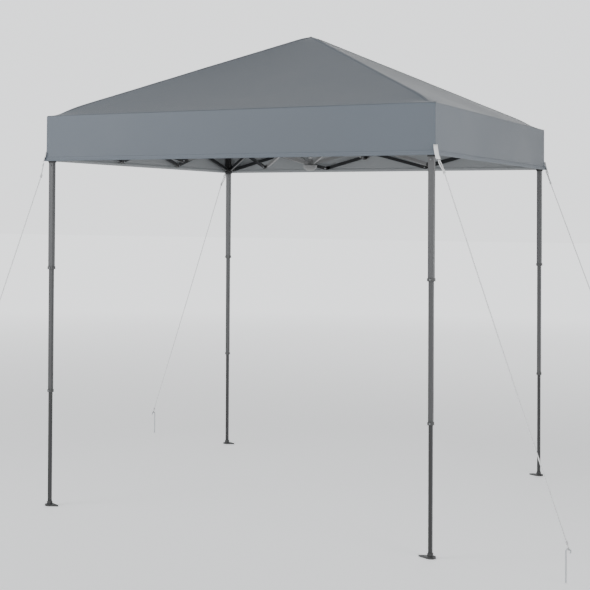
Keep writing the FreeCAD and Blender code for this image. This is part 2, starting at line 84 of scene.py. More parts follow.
# ---- the shape and seams of the cloth -------------------------------------------------------
ROOF_SAG = 0.012            # of a panel's middle below the straight line from eave to peak
CORNER_FLAT = 0.055         # share of the half side where the fabric lies flat on a bracket
TIP_DROP = 0.006            # how far the fabric is rounded over the pole's cap
TIP_RADIUS = 0.035
WRINKLE = 0.0016
VALANCE_SLACK = 0.004
VALANCE_FLARE = 0.008       # how far a corner's lower end stands out
FLARE_START = 0.72          # share of the drop where the flare begins
HEM_HEIGHT = 0.020
TAPE_TOP = 0.006            # where a hip's tape starts, as a share of the half side
TAPE_REACH = 0.989          # how far it runs from there
TAPE_HALF = 0.011
STITCH_ROW = 0.0052         # from the tape's middle to a row of stitches

# ---- straps, ropes and pegs, front right corner ---------------------------------------------
STRAP_WIDTH = 0.020
STRAP_THICKNESS = 0.0016
STRAP_ACROSS = Vector((1, 1, 0)).normalized()
STRAP_PATH = [
    Vector((1.0015, -1.0015, 1.7570)),
    Vector((1.0030, -1.0030, 1.7460)),
    Vector((1.0052, -1.0052, 1.7350)),
    Vector((1.0080, -1.0080, 1.7220)),
    Vector((1.0103, -1.0085, 1.7130)),
    Vector((1.0130, -1.0062, 1.7040)),
    Vector((1.0156, -1.0043, 1.6965)),
]
STRAP_FOLD = [
    Vector((1.0150, -1.0038, 1.6945)),
    Vector((1.0132, -1.0034, 1.6965)),
    Vector((1.0108, -1.0046, 1.7040)),
]
RING_PLACE = Vector((1.0144, -1.0041, 1.6968))
RING_HALF = 0.0115
RING_DROP = 0.0105
RING_WIRE = 0.0014
STRAP_END = Vector((1.0365, -0.990, 1.6395))
LACE_STEPS = 28
LACE_SPREAD = 0.0062
LACE_RADIUS = 0.0023
EYE_STEPS = 20
EYE_HALF = 0.0062
EYE_CORD = 0.0022
WHIPPING_TURNS = 4
WHIPPING_STEPS = 48
ROPE_DIAMETER = 0.005
ROPE_SAG = 0.008
PEG = Vector((1.564, -1.075, 0.0))
PEG_RADIUS = 0.0035
PEG_SHANK = 0.130
PEG_HOOK = 0.009
ROPE_LENGTH = 1.5902

# ---- truss bars -----------------------------------------------------------------------------
BAR_HALF = 0.009
LAYER_NEAR = 0.0005
LAYER_FAR = 0.0095          # a bar's two faces, from the truss's middle plane
CAP_WALL = 0.0009
CAP_LENGTH = 0.024
CAP_BEVEL = (0.003, 0.004)  # along the bar and across it
BOLT_RADIUS = 0.0044

# ---- lower hub, by where its parts lie ------------------------------------------------------
POLE_RADIUS = 0.0095
POLE_BOTTOM = 1.7505
STAR_HEIGHTS = (1.77, 1.83)
RED_BUTTON_FACE = 0.0335
RED_BUTTON_HALF = 0.0072
RED_BUTTON_TOP = 1.714


# ==== Node graphs ============================================================================
WHITE = (1.0, 1.0, 1.0)
NOISE_RANGE = (0.3, 0.7)    # where most of a noise texture's values lie
WAVE_BAND = 0.314           # width of one band of a wave texture whose scale is 1


def grey(level, tint=WHITE):
    return (level * tint[0], level * tint[1], level * tint[2], 1.0)


class Graph:
    """A material's nodes, with short calls for the textures that its finish is made of."""

    def __init__(self, name):
        self.material = bpy.data.materials.new(name)
        self.material.use_nodes = True
        self.tree = self.material.node_tree
        self.shader = next(n for n in self.tree.nodes if n.type == "BSDF_PRINCIPLED")

    def put(self, value, socket):
        """Link a socket's value, or set a plain one."""
        if isinstance(value, bpy.types.NodeSocket):
            self.tree.links.new(value, socket)
        else:
            socket.default_value = value

    def node(self, kind, values=(), **settings):
        made = self.tree.nodes.new("ShaderNode" + kind)
        for key, value in settings.items():
            setattr(made, key, value)
        for key, value in dict(values).items():
            self.put(value, made.inputs[key])
        return made

    def place(self):
        """Where a point is on the object, in metres."""
        return self.node("TexCoord").outputs["Object"]

    def uv(self):
        """Where a point is on the piece's surface: metres, or shares of a rope's curve."""
        return self.node("TexCoord").outputs["UV"]

    def scaled(self, vector, x, y, z):
        return self.node("Mapping", {"Vector": vector, "Scale": (x, y, z)}).outputs[0]

    def noise(self, vector, scale, detail):
        values = {"Vector": vector, "Scale": scale, "Detail": detail}
        return self.node("TexNoise", values).outputs["Fac"]

    def grain(self):
        """The fine spark-eroded grain of a moulding."""
        return self.noise(self.place(), 2600.0, 1.0)

    def peel(self):
        """The orange peel of a powder coat."""
        return self.noise(self.place(), 900.0, 2.0)

    def waves(self, band, direction):
        """Bands of a sine along U (X) or V (Y), each as wide as band in metres."""
        values = {"Vector": self.uv(), "Scale": WAVE_BAND / band}
        return self.node("TexWave", values, bands_direction=direction).outputs["Fac"]

    def math(self, operation, a, b=0.0):
        return self.node("Math", {0: a, 1: b}, operation=operation).outputs[0]

    def remap(self, value, low, high, to_low=0.0, to_high=1.0):
        values = {"Value": value, "From Min": low, "From Max": high, "To Min": to_low, "To Max": to_high}
        return self.node("MapRange", values).outputs[0]

    def spread(self, noise_value, low, high):
        """A noise's usual range, moved to run from low to high."""
        return self.remap(noise_value, *NOISE_RANGE, low, high)

    def blend(self, factor, a, b):
        """A colour between a and b."""
        made = self.node("Mix", data_type="RGBA")
        for value, socket in zip((factor, a, b), (made.inputs[0], made.inputs[6], made.inputs[7])):
            self.put(value, socket)
        return made.outputs[2]

    def shades(self, factor, level, low, high, tint=WHITE):
        """A grey between two shares of a level."""
        return self.blend(factor, grey(level * low, tint), grey(level * high, tint))

    def weigh(self, factor, a, b):
        """A number between a and b."""
        return self.node("Mix", {0: factor, 2: a, 3: b}, data_type="FLOAT").outputs[0]

    def bump(self, height, distance, strength, under=None):
        values = {"Height": height, "Distance": distance, "Strength": strength}
        if under is not None:
            values["Normal"] = under
        return self.node("Bump", values).outputs[0]

    def finish(self, color, roughness, normal=None, **sockets):
        """Join the finished textures to the shader, and give the material."""
        self.put(color, self.shader.inputs["Base Color"])
        self.put(roughness, self.shader.inputs["Roughness"])
        if normal is not None:
            self.put(normal, self.shader.inputs["Normal"])
        for key, value in sockets.items():
            self.put(value, self.shader.inputs[key.replace("_", " ")])
        return self.material


# ==== Materials ==============================================================================
COOL = (0.90, 1.0, 1.12)
CLOTH_TINT = (0.85, 1.0, 1.19)
COATING_TINT = (0.96, 1.0, 1.03)
ZINC_TINT = (0.97, 1.0, 1.03)
PAINT_TINT = (1.0, 1.0, 1.02)
BUTTON_RED = (0.52, 0.014, 0.010, 1.0)
PAINT_ROUGHNESS = 0.42
# Spacings of threads, ribs, stitches and strands, in metres.
CLOTH_THREAD = 0.0011
TAPE_THREAD = 0.0009
STITCH_PITCH = 0.0045
WEBBING_RIB = 0.0016
WEBBING_CORD = 0.0024
BRAID_LAY = 0.006


def woven(graph, thread):
    """Height of a plain weave whose threads lie the given distance apart."""
    warp = graph.waves(2 * thread, "X")
    weft = graph.waves(2 * thread, "Y")
    over = graph.math("MULTIPLY", warp, weft)
    under = graph.math("MULTIPLY", graph.math("SUBTRACT", 1.0, warp), graph.math("SUBTRACT", 1.0, weft))
    return graph.math("ADD", over, under)


def fabric(name, level, tint, roughness, **sockets):
    """Coated polyester cloth: plain weave, faint cloudy shade and soft creases."""
    graph = Graph(name)
    weave = woven(graph, CLOTH_THREAD)
    clouds = graph.noise(graph.place(), 2.6, 3.0)
    slub = graph.noise(graph.scaled(graph.uv(), 40, 900, 1), 1.0, 1.0)
    shade = graph.math("ADD", graph.math("MULTIPLY", clouds, 0.55), graph.math("MULTIPLY", slub, 0.2))
    # The weave's low spots also darken the colour, which is painted shade between the threads. Clouds and
    # slub are the cloth's own uneven tone.
    shade = graph.math("ADD", shade, graph.math("MULTIPLY", weave, 0.25))
    color = graph.shades(shade, level, 0.84, 1.16, tint)
    rough = graph.spread(clouds, roughness - 0.05, roughness + 0.06)
    creases = graph.bump(graph.noise(graph.place(), 14.0, 4.0), 0.004, 0.16)
    normal = graph.bump(weave, 0.00022, 0.55, creases)
    return graph.finish(color, rough, normal, **sockets)


def powder_coat(name, level, roughness, tint=WHITE):
    """Powder-coated steel: fine orange peel, long scuffs and a slightly uneven gloss."""
    graph = Graph(name)
    drift = graph.noise(graph.place(), 9.0, 3.0)
    scuffs = graph.noise(graph.scaled(graph.place(), 260, 260, 7), 1.0, 4.0)
    worn = graph.remap(scuffs, 0.64, 0.74)
    color = graph.shades(drift, level, 0.9, 1.1, tint)
    color = graph.blend(graph.math("MULTIPLY", worn, 0.35), color, grey(level * 1.9 + 0.03, tint))
    rough = graph.math("ADD", graph.spread(drift, roughness - 0.05, roughness + 0.05),
                       graph.math("MULTIPLY", worn, 0.15))
    normal = graph.bump(graph.peel(), 0.00012, 0.5)
    return graph.finish(color, rough, normal, Specular_IOR_Level=0.3)


def moulded(name, level, roughness=0.5, tint=WHITE):
    """Moulded nylon with a fine spark-eroded grain and a few pale rub marks."""
    graph = Graph(name)
    grain = graph.grain()
    drift = graph.noise(graph.place(), 30.0, 3.0)
    rubs = graph.remap(graph.noise(graph.scaled(graph.place(), 90, 90, 260), 1.0, 3.0), 0.66, 0.78)
    color = graph.shades(drift, level, 0.85, 1.15, tint)
    color = graph.blend(graph.math("MULTIPLY", rubs, 0.3), color, grey(level * 2 + 0.04, tint))
    rough = graph.spread(grain, roughness - 0.06, roughness + 0.08)
    return graph.finish(color, rough, graph.bump(grain, 0.00008, 0.6), Specular_IOR_Level=0.35)


def zinc(name, level, roughness):
    """Zinc-plated steel wire, faintly mottled."""
    graph = Graph(name)
    mottle = graph.noise(graph.place(), 160.0, 3.0)
    drawn = graph.noise(graph.scaled(graph.place(), 900, 900, 60), 1.0, 2.0)
    color = graph.shades(mottle, level, 0.8, 1.1, ZINC_TINT)
    rough = graph.spread(mottle, roughness - 0.07, roughness + 0.1)
    return graph.finish(color, rough, graph.bump(drawn, 0.00005, 0.4), Metallic=1.0)


def webbing(name, level):
    """Flat woven strap: ribs across it and fine cords along it (U along it, V across it)."""
    graph = Graph(name)
    ribs = graph.waves(WEBBING_RIB, "X")
    cords = graph.waves(WEBBING_CORD, "Y")
    height = graph.math("ADD", graph.math("MULTIPLY", ribs, 0.6), graph.math("MULTIPLY", cords, 0.4))
    # The colour darkens in the low spots between ribs and cords: painted shade in the weave's hollows.
    color = graph.shades(height, level, 0.72, 1.0)
    normal = graph.bump(height, 0.0004, 0.7)
    return graph.finish(color, 0.72, normal, Sheen_Weight=0.25, Sheen_Roughness=0.5)


def braided(name, level):
    """Braided rope: two sets of strands that wind opposite ways (U along it, V round it)."""
    graph = Graph(name)
    axes = graph.node("SeparateXYZ", {0: graph.uv()})
    turns = graph.math("MULTIPLY", axes.outputs[0], 2 * math.pi * ROPE_LENGTH / BRAID_LAY)
    round_it = graph.math("MULTIPLY", axes.outputs[1], 4 * math.pi)
    left = graph.math("SINE", graph.math("ADD", turns, round_it))
    right = graph.math("SINE", graph.math("SUBTRACT", turns, round_it))
    height = graph.remap(graph.math("MAXIMUM", left, right), -1.0, 1.0)
    fuzz = graph.noise(graph.place(), 1800.0, 2.0)
    # The colour darkens in the grooves between strands: painted shade.
    color = graph.shades(graph.math("MULTIPLY", height, 0.7), level, 0.75, 1.0)
    normal = graph.bump(height, 0.0006, 0.6, graph.bump(fuzz, 0.0002, 0.3))
    return graph.finish(color, 0.75, normal, Sheen_Weight=0.3, Sheen_Roughness=0.5)


def stitched(name, level, tint):
    """Seam tape: the roof's cloth with two rows of stitches (U along it, V across it)."""
    graph = Graph(name)
    axes = graph.node("SeparateXYZ", {0: graph.uv()})
    along = graph.remap(graph.waves(STITCH_PITCH, "X"), 0.25, 0.45)
    off_middle = graph.math("ABSOLUTE", axes.outputs[1])
    row = graph.math("ABSOLUTE", graph.math("SUBTRACT", off_middle, STITCH_ROW))
    row = graph.remap(row, 0.0006, 0.0011, 1.0, 0.0)
    thread = graph.math("MULTIPLY", along, row)
    weave = woven(graph, TAPE_THREAD)
    # The weave's low spots darken the tape's colour: painted shade between the threads.
    base = graph.shades(weave, level, 0.86, 1.06, tint)
    color = graph.blend(thread, base, grey(level * 1.5, tint))
    normal = graph.bump(thread, 0.0006, 0.8, graph.bump(weave, 0.0002, 0.5))
    return graph.finish(color, 0.62, normal, Sheen_Weight=0.15, Sheen_Roughness=0.5)


def banded(name, level, bands):
    """A leg tube's paint, with darker bands of height: moulded plastic, and on the outer tube also painted
    shade on the bare tube above the slider.  Each band is its lowest height, its highest height and its
    level."""
    graph = Graph(name)
    height = graph.node("SeparateXYZ", {0: graph.place()}).outputs[2]
    drift = graph.noise(graph.place(), 7.0, 3.0)
    grain = graph.grain()
    scuffs = graph.remap(graph.noise(graph.scaled(graph.place(), 240, 240, 6), 1.0, 4.0), 0.63, 0.74)
    paint = graph.shades(drift, level, 0.92, 1.08, PAINT_TINT)
    color = graph.blend(graph.math("MULTIPLY", scuffs, 0.3), paint, grey(level * 1.9))
    inside = 0.0
    # A band's level is the moulded plastic's colour, or painted shade where the band covers bare tube.
    for low, high, band_level in bands:
        above = graph.math("GREATER_THAN", height, low)
        below = graph.math("LESS_THAN", height, high)
        band = graph.math("MULTIPLY", above, below)
        color = graph.blend(band, color, graph.shades(drift, band_level, 0.85, 1.15))
        inside = graph.math("ADD", inside, band)
    paint_rough = graph.spread(drift, PAINT_ROUGHNESS - 0.05, PAINT_ROUGHNESS + 0.06)
    rough = graph.weigh(inside, paint_rough, graph.spread(grain, 0.46, 0.6))
    normal = graph.bump(grain, 0.00006, 0.4, graph.bump(graph.peel(), 0.0001, 0.4))
    return graph.finish(color, rough, normal, Specular_IOR_Level=0.3)


def make_materials():
    """Every finish on the object, by name."""
    tube = 0.10
    collar = 0.085
    black = 0.02
    return {
        "roof": fabric("canopy_cloth", 0.115, CLOTH_TINT, 0.6, Sheen_Weight=0.2, Sheen_Roughness=0.5),
        "lining": fabric("silver_coating", 0.27, COATING_TINT, 0.5, Metallic=0.1),
        "tape": stitched("seam_tape", 0.122, CLOTH_TINT),
        # From the slider's top to the eave the outer leg is near-black: the bracket's black plastic, plus
        # painted shade on the bare grey tube between the slider and the bracket.
        "leg_outer": banded("outer_tube", tube, [(*UPPER_COLLAR, collar), (SLIDER_TOP, EAVE, black)]),
        "leg_middle": banded("middle_tube", tube * 0.8, [(*LOWER_COLLAR, collar)]),
        "leg_lower": banded("lower_tube", tube * 0.42, [(FOOT_BOTTOM, FOOT_TOP, collar * 0.8)]),
        "slider": moulded("slider_nylon", 0.022),
        "cap": moulded("joint_cap_nylon", 0.018, 0.42),
        # The side bars' near-black level is painted shade: the frame's bars are grey like the hub arms,
        # and are drawn as dark as they look in shade under the valance.
        "side_bar": powder_coat("side_bar_coat_painted_shade", 0.012, 0.4, COOL),
        "arm": powder_coat("hub_arm_coat", 0.17, 0.42),
        "crown": moulded("crown_nylon", 0.035, 0.45, COOL),
        "bolt": zinc("bolt_steel", 0.28, 0.36),
        "peg": zinc("peg_steel", 0.6, 0.34),
        "ring": zinc("ring_steel", 0.35, 0.35),
        "strap": webbing("strap_webbing", 0.95),
        "rope": braided("guy_rope_braid", 0.95),
    }


def dome_material():
    """The lower hub: pale grey dome, red release button, dark star plate and bright pole."""
    graph = Graph("lower_hub_finish")
    x, y, z = graph.node("SeparateXYZ", {0: graph.place()}).outputs
    squared = graph.math("ADD", graph.math("MULTIPLY", x, x), graph.math("MULTIPLY", y, y))
    radius = graph.math("SQRT", squared)
    is_pole = graph.math("MULTIPLY", graph.math("LESS_THAN", radius, POLE_RADIUS),
                         graph.math("GREATER_THAN", z, POLE_BOTTOM))
    is_star = graph.math("MULTIPLY", graph.math("GREATER_THAN", z, STAR_HEIGHTS[0]),
                         graph.math("LESS_THAN", z, STAR_HEIGHTS[1]))
    near_axis = graph.math("LESS_THAN", graph.math("ABSOLUTE", x), RED_BUTTON_HALF)
    is_button = graph.math("MULTIPLY", graph.math("GREATER_THAN", y, RED_BUTTON_FACE), near_axis)
    is_button = graph.math("MULTIPLY", is_button, graph.math("LESS_THAN", z, RED_BUTTON_TOP))
    grain = graph.grain()
    drift = graph.noise(graph.place(), 25.0, 3.0)
    color = graph.blend(drift, grey(0.16), grey(0.20))
    color = graph.blend(is_star, color, grey(0.045))
    color = graph.blend(is_pole, color, grey(0.5))
    color = graph.blend(is_button, color, BUTTON_RED)
    rough = graph.weigh(is_pole, graph.spread(grain, 0.38, 0.5), 0.3)
    return graph.finish(color, rough, graph.bump(grain, 0.00008, 0.5), Metallic=is_pole)


# ==== Mesh helpers ===========================================================================
def mesh_piece(name, points, faces, finishes, body, smooth=True, uvs=None):
    """A mesh that rides on a body, unless body is None.  finishes lists its materials, and
    uvs gives each face's corners their U and V."""
    mesh = bpy.data.meshes.new(name)
    mesh.from_pydata([tuple(place) for place in points], [], faces)
    if uvs is not None:
        layer = mesh.uv_layers.new(name="cloth")
        flat = [value for face in uvs for corner in face for value in corner]
        layer.data.foreach_set("uv", flat)
    mesh.validate()
    if smooth:
        mesh.polygons.foreach_set("use_smooth", [True] * len(mesh.polygons))
    piece = bpy.data.objects.new(name, mesh)
    bpy.context.scene.collection.objects.link(piece)
    for finish in finishes:
        mesh.materials.append(finish)
    if body is not None:
        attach(piece, body)
    return piece


def apply_modifiers(piece):
    """Make the piece's modifiers part of its mesh."""
    bpy.context.view_layer.update()
    graph = bpy.context.evaluated_depsgraph_get()
    shaped = bpy.data.meshes.new_from_object(piece.evaluated_get(graph))
    shaped.name = piece.name
    piece.modifiers.clear()
    piece.data = shaped


def grid_faces(rows, columns, wrap=False):
    """Quads of a grid whose points are stored row by row."""
    faces = []
    for row in range(rows - 1):
        for column in range(columns if wrap else columns - 1):
            right = (column + 1) % columns
            low, high = row * columns, (row + 1) * columns
            faces.append((low + column, low + right, high + right, high + column))
    return faces


def circle(count):
    """Evenly spaced turns of a full circle."""
    return [2 * math.pi * step / count for step in range(count)]


def tube_along(path, radius, sides, closed=False):
    """Points and faces of a round tube that follows a path.  Its ends are blunt points, unless
    it is closed into a ring."""
    count = len(path)
    points = []
    side = None
    for index, place in enumerate(path):
        before = path[index - 1] if closed or index else path[0]
        after = path[(index + 1) % count] if closed or index < count - 1 else path[-1]
        ahead = (after - before).normalized()
        if side is None:
            side = ahead.cross(Vector((0.3, 0.9, 0.2))).normalized()
        side = (side - ahead * side.dot(ahead)).normalized()
        up = ahead.cross(side)
        for turn in circle(sides):
            points.append(place + radius * (side * math.cos(turn) + up * math.sin(turn)))
    faces = grid_faces(count, sides, wrap=True)
    if closed:
        last = (count - 1) * sides
        faces += [(last + s, last + (s + 1) % sides, (s + 1) % sides, s) for s in range(sides)]
        return points, faces
    for end, ring, sign in ((0, 0, -1), (count - 1, (count - 1) * sides, 1)):
        ahead = (path[min(end + 1, count - 1)] - path[max(end - 1, 0)]).normalized()
        tip = len(points)
        points.append(path[end] + ahead * radius * 0.7 * sign)
        for s in range(sides):
            pair = (ring + s, ring + (s + 1) % sides)
            faces.append((pair[1], pair[0], tip) if sign < 0 else (pair[0], pair[1], tip))
    return points, faces


def joined(parts):
    """Several lists of points and faces as one."""
    points, faces = [], []
    for more_points, more_faces in parts:
        start = len(points)
        points += more_points
        faces += [tuple(start + i for i in face) for face in more_faces]
    return points, faces


def turned_profile(profile, centre, axis, sides):
    """A solid turned from (radius, height) pairs about a unit axis through a centre.  The
    first and last pairs have radius 0."""
    side = axis.orthogonal().normalized()
    up = axis.cross(side)
    points = [centre + axis * profile[0][1]]
    for radius, height in profile[1:-1]:
        for turn in circle(sides):
            points.append(centre + axis * height + radius * (side * math.cos(turn) + up * math.sin(turn)))
    last = len(points)
    points.append(centre + axis * profile[-1][1])
    rings = len(profile) - 2
    faces = [tuple(1 + i for i in face) for face in grid_faces(rings, sides, wrap=True)]
    faces += [(0, 1 + (s + 1) % sides, 1 + s) for s in range(sides)]
    top = 1 + (rings - 1) * sides
    faces += [(top + s, top + (s + 1) % sides, last) for s in range(sides)]
    return points, faces


# ==== The fabric roof ========================================================================
def roof_height(x, y):
    """Height of the roof's cloth over a point of the plan.  reach runs from 0 at the peak to 1
    at the eave, and across from 0 at a panel's middle line to 1 on a hip."""
    reach = max(abs(x), abs(y)) / HALF_CANOPY
    climb = max(1.0 - reach, 0.0)
    across = min(abs(x), abs(y)) / max(abs(x), abs(y), 1e-6)
    on_bracket = across ** 14 * math.exp(-((climb / CORNER_FLAT) ** 2))
    sag = ROOF_SAG * math.sin(math.pi * climb ** 0.85) * (1.0 - across ** 2)
    tip = TIP_DROP * math.exp(-((math.hypot(x, y) / TIP_RADIUS) ** 2))
    soft = noise.noise(Vector((x * 3.1, y * 3.1, 0.7))) + 0.5 * noise.noise(Vector((x * 8, y * 8, 3.3)))
    wrinkle = WRINKLE * soft * math.sin(math.pi * min(climb * 1.15, 1.0))
    return EAVE + (PEAK - EAVE) * climb * (1.0 - on_bracket) - sag - tip + wrinkle


def valance_offset(along, share):
    """How far the valance stands outside the eave line, at a place along a side from -1 to 1
    and a share of its drop from 0 to 1."""
    corner = abs(along) ** 26
    flare = VALANCE_FLARE * corner * max(share - FLARE_START, 0.0) ** 2 / (1.0 - FLARE_START) ** 2
    wave = math.sin(along * 5.3 + 0.6) + 0.6 * math.sin(along * 11.7 + 2.1)
    slack = VALANCE_SLACK * share * (1.0 - along ** 6) * wave * 0.5
    return flare + slack


def side_steps(spacing):
    """Places along a side from one corner up to the next, closer together at both ends."""
    near_corner = [0.993, 0.98, 0.955, 0.92, 0.87]
    even = [-0.8 + spacing * step for step in range(round(1.6 / spacing) + 1)]
    return [-1.0] + [-step for step in near_corner] + even + near_corner[::-1]


CLOTH_STEPS = side_steps(0.1)
HEM_STEPS = side_steps(0.05)
# Rows of the cloth: shares of the way from the peak to the eave, then down the valance.
ROOF_ROWS = [0.02, 0.045, 0.08] + [0.13 + 0.058 * step for step in range(14)] + [
    0.925, 0.95, 0.97, 0.984, 0.993, 1.0
]
VALANCE_ROWS = [0.03, 0.09, 0.2, 0.35, 0.5, 0.64, 0.74, 0.83, 0.9, 0.96, 1.0]
PANEL_APART = 3.0           # between the four sides on the cloth's U axis


def side_point(quarter, along, out, height):
    """A point of one side: along it, out from the middle, and up."""
    turn = Matrix.Rotation(quarter * math.pi / 2, 3, "Z")
    return turn @ Vector((along, -out, height))


def valance_point(quarter, step, share, height, stand=0.0):
    """A point that stands off the valance, at a share of its drop.  Next to a corner it keeps
    to the corner's diagonal, so that neighbouring sides meet."""
    out = HALF_CANOPY + valance_offset(step, share) + stand
    along = step * out if abs(step) > 0.9 else step * HALF_CANOPY
    return side_point(quarter, along, out, height)


def canopy_grid():
    """The cloth as rows of points from the peak to the hem.  Each row comes with its distance
    down the cloth and its width as a share of the eave's."""
    rows = []
    for reach in ROOF_ROWS:
        row = []
        for quarter in range(4):
            for step in CLOTH_STEPS:
                flat = side_point(quarter, step * reach * HALF_CANOPY, reach * HALF_CANOPY, 0.0)
                row.append(Vector((flat.x, flat.y, roof_height(flat.x, flat.y))))
        rows.append((row, ROOF_SLOPE * reach, reach))
    for share in VALANCE_ROWS:
        height = EAVE - share * VALANCE_DROP
        row = [valance_point(quarter, step, share, height) for quarter in range(4) for step in CLOTH_STEPS]
        rows.append((row, ROOF_SLOPE + share * VALANCE_DROP, 1.0))
    return rows


def make_canopy(materials):
    """One continuous sheet: four roof panels that run over the eave into the valance."""
    rows = canopy_grid()
    per_side = len(CLOTH_STEPS)
    columns = 4 * per_side
    steps = CLOTH_STEPS + [1.0]
    points = [Vector((0, 0, roof_height(0, 0)))]
    for row, _, _ in rows:
        points += row
    faces, uvs = [], []
    for column in range(columns):
        right = (column + 1) % columns
        panel = PANEL_APART * (column // per_side)
        near, far = steps[column % per_side], steps[column % per_side + 1]
        edges = []
        for _, down, width in rows:
            reach = width * HALF_CANOPY
            edges.append(((near * reach + panel, down), (far * reach + panel, down)))
        faces.append((0, 1 + column, 1 + right))
        uvs.append([(panel, 0.0), *edges[0]])
        for row in range(len(rows) - 1):
            low, high = 1 + row * columns, 1 + (row + 1) * columns
            faces.append((low + column, high + column, high + right, low + right))
            uvs.append([edges[row][0], edges[row + 1][0], edges[row + 1][1], edges[row][1]])
    finishes = [materials["roof"], materials["lining"]]
    canopy = mesh_piece("canopy_sheet", points, faces, finishes, None, uvs=uvs)
    smooth = canopy.modifiers.new("smooth", "SUBSURF")
    smooth.levels = smooth.render_levels = 1
    shell = canopy.modifiers.new("cloth", "SOLIDIFY")
    shell.thickness = FABRIC
    shell.offset = -1.0
    shell.material_offset = 1
    shell.material_offset_rim = 0
    apply_modifiers(canopy)
    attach(canopy, "upper_hub")
    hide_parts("canopy")


def make_hip_tapes(materials):
    """Folded seam tapes along the four hips, from each corner to the peak."""
    # Across a tape: the distance from its middle and the height over the cloth.
    section = [
        (-TAPE_HALF, -0.0002), (-TAPE_HALF * 0.93, 0.0011), (-0.0045, 0.0014), (0.0, 0.0015),
        (0.0045, 0.0014), (TAPE_HALF * 0.93, 0.0011), (TAPE_HALF, -0.0002),
    ]
    width = len(section)
    rows = 60
    length = 1.5
    all_points, all_faces, all_uvs = [], [], []
    for sign_x, sign_y in CORNERS.values():
        side = Vector((-sign_y, sign_x, 0)).normalized()
        start = len(all_points)
        for row in range(rows + 1):
            share = 1.0 - (row / rows) ** 1.1
            place = HALF_CANOPY * (TAPE_TOP + TAPE_REACH * share)
            middle = Vector((sign_x * place, sign_y * place, 0))
            for offset, lift in section:
                spot = middle + side * offset
                all_points.append(Vector((spot.x, spot.y, roof_height(spot.x, spot.y) + lift)))
        faces = grid_faces(rows + 1, width)
        if sign_x * sign_y > 0:
            faces = [face[::-1] for face in faces]
        for face in faces:
            all_faces.append(tuple(start + i for i in face))
            all_uvs.append([(length * (i // width) / rows, section[i % width][0]) for i in face])
    finishes = [materials["tape"]]
    tapes = mesh_piece("hip_seam_tapes", all_points, all_faces, finishes, "upper_hub", uvs=all_uvs)


def make_hem(materials):
    """The folded and stitched hem round the valance's lower edge."""
    # Round the fold, from its outer top to its inner top: height over the valance's lower
    # edge, and how far it stands outside the cloth.
    section = [
        (HEM_HEIGHT, 0.0001), (HEM_HEIGHT - 0.001, 0.0009), (0.0, 0.0012), (-0.0008, 0.0),
        (0.0, -0.0021), (HEM_HEIGHT - 0.001, -0.0018), (HEM_HEIGHT, -0.0010),
    ]
    outside_rows = 3
    width = len(section)
    points = []
    for quarter in range(4):
        for step in HEM_STEPS:
            for up, out in section:
                share = min(1.0 - up / VALANCE_DROP, 1.0)
                points.append(valance_point(quarter, step, share, VALANCE_BOTTOM + up, out))
    per_side = len(HEM_STEPS)
    columns = 4 * per_side
    steps = HEM_STEPS + [1.0]
    faces, uvs = [], []
    for column in range(columns):
        left, right = column * width, (column + 1) % columns * width
        near, far = steps[column % per_side], steps[column % per_side + 1]
        for row in range(width - 1):
            faces.append((left + row, left + row + 1, right + row + 1, right + row))
            over, under = (section[k][0] - HEM_HEIGHT / 2 for k in (row, row + 1))
            uvs.append([(near, over), (near, under), (far, under), (far, over)])
    finishes = [materials["tape"], materials["lining"]]
    hem = mesh_piece("valance_hem", points, faces, finishes, "upper_hub", uvs=uvs)
    for number, face in enumerate(hem.data.polygons):
        face.material_index = 0 if number % (width - 1) < outside_rows else 1


# ==== Straps, guy ropes and pegs =============================================================
def at_corner(point, signs):
    """A place given for the front right corner, moved to another corner."""
    return Vector((point[0] * signs[0], -point[1] * signs[1], point[2]))


def strap_piece(name, path, across, mirrored, material):
    """A flat strap that follows points, with its width along one direction.  Its section is in
    shares of half the width and of the thickness."""
    section = ((-1, -0.35), (-0.92, 0.5), (0.92, 0.5), (1, -0.35), (0.92, -0.5), (-0.92, -0.5))
    half = STRAP_WIDTH / 2
    points = []
    lengths = [0.0]
    for index, place in enumerate(path):
        ahead = (path[min(index + 1, len(path) - 1)] - path[max(index - 1, 0)]).normalized()
        normal = across.cross(ahead)
        if index:
            lengths.append(lengths[-1] + (place - path[index - 1]).length)
        for sideways, lift in section:
            points.append(place + across * (sideways * half) + normal * lift * STRAP_THICKNESS)
    count = len(path)
    around = len(section)
    faces = grid_faces(count, around, wrap=True)
    faces += [tuple(range(around))[::-1], tuple(range((count - 1) * around, count * around))]
    if mirrored:
        faces = [face[::-1] for face in faces]
    uvs = [[(lengths[i // around], section[i % around][0] * half) for i in face] for face in faces]
    return mesh_piece(name, points, faces, [material], "upper_hub", uvs=uvs)


def make_strap(corner, signs, materials):
    """The webbing tab that lies across a corner of the valance, and the ring in its fold."""
    mirrored = signs[0] * signs[1] > 0
    path = [at_corner(place, signs) for place in STRAP_PATH + STRAP_FOLD]
    across = at_corner(STRAP_ACROSS, signs)
    strap = strap_piece("guy_strap_" + corner, path, across, mirrored, materials["strap"])
    pull = (STRAP_END - RING_PLACE).normalized()
    outline = [STRAP_ACROSS * -RING_HALF, STRAP_ACROSS * RING_HALF]
    for turn in circle(24)[1:12]:
        outline.append(STRAP_ACROSS * (RING_HALF * math.cos(turn)) + pull * (RING_DROP * math.sin(turn)))
    wire = [at_corner(RING_PLACE + place, signs) for place in outline]
    points, faces = tube_along(wire, RING_WIRE, 8, closed=True)
    ring = mesh_piece("guy_ring_" + corner, points, faces, [materials["ring"]], "upper_hub")


def rope_route():
    """The rope's control points at the front right corner, from the lacing to the peg's hook."""
    end = PEG + Vector((PEG_HOOK, 0, PEG_SHANK + PEG_HOOK + PEG_RADIUS + ROPE_DIAMETER / 2))
    run = end - STRAP_END
    sag = Vector((0, 0, -ROPE_SAG))
    return [STRAP_END, STRAP_END + run * 0.03, STRAP_END + run * 0.5 + sag, STRAP_END + run * 0.97, end]


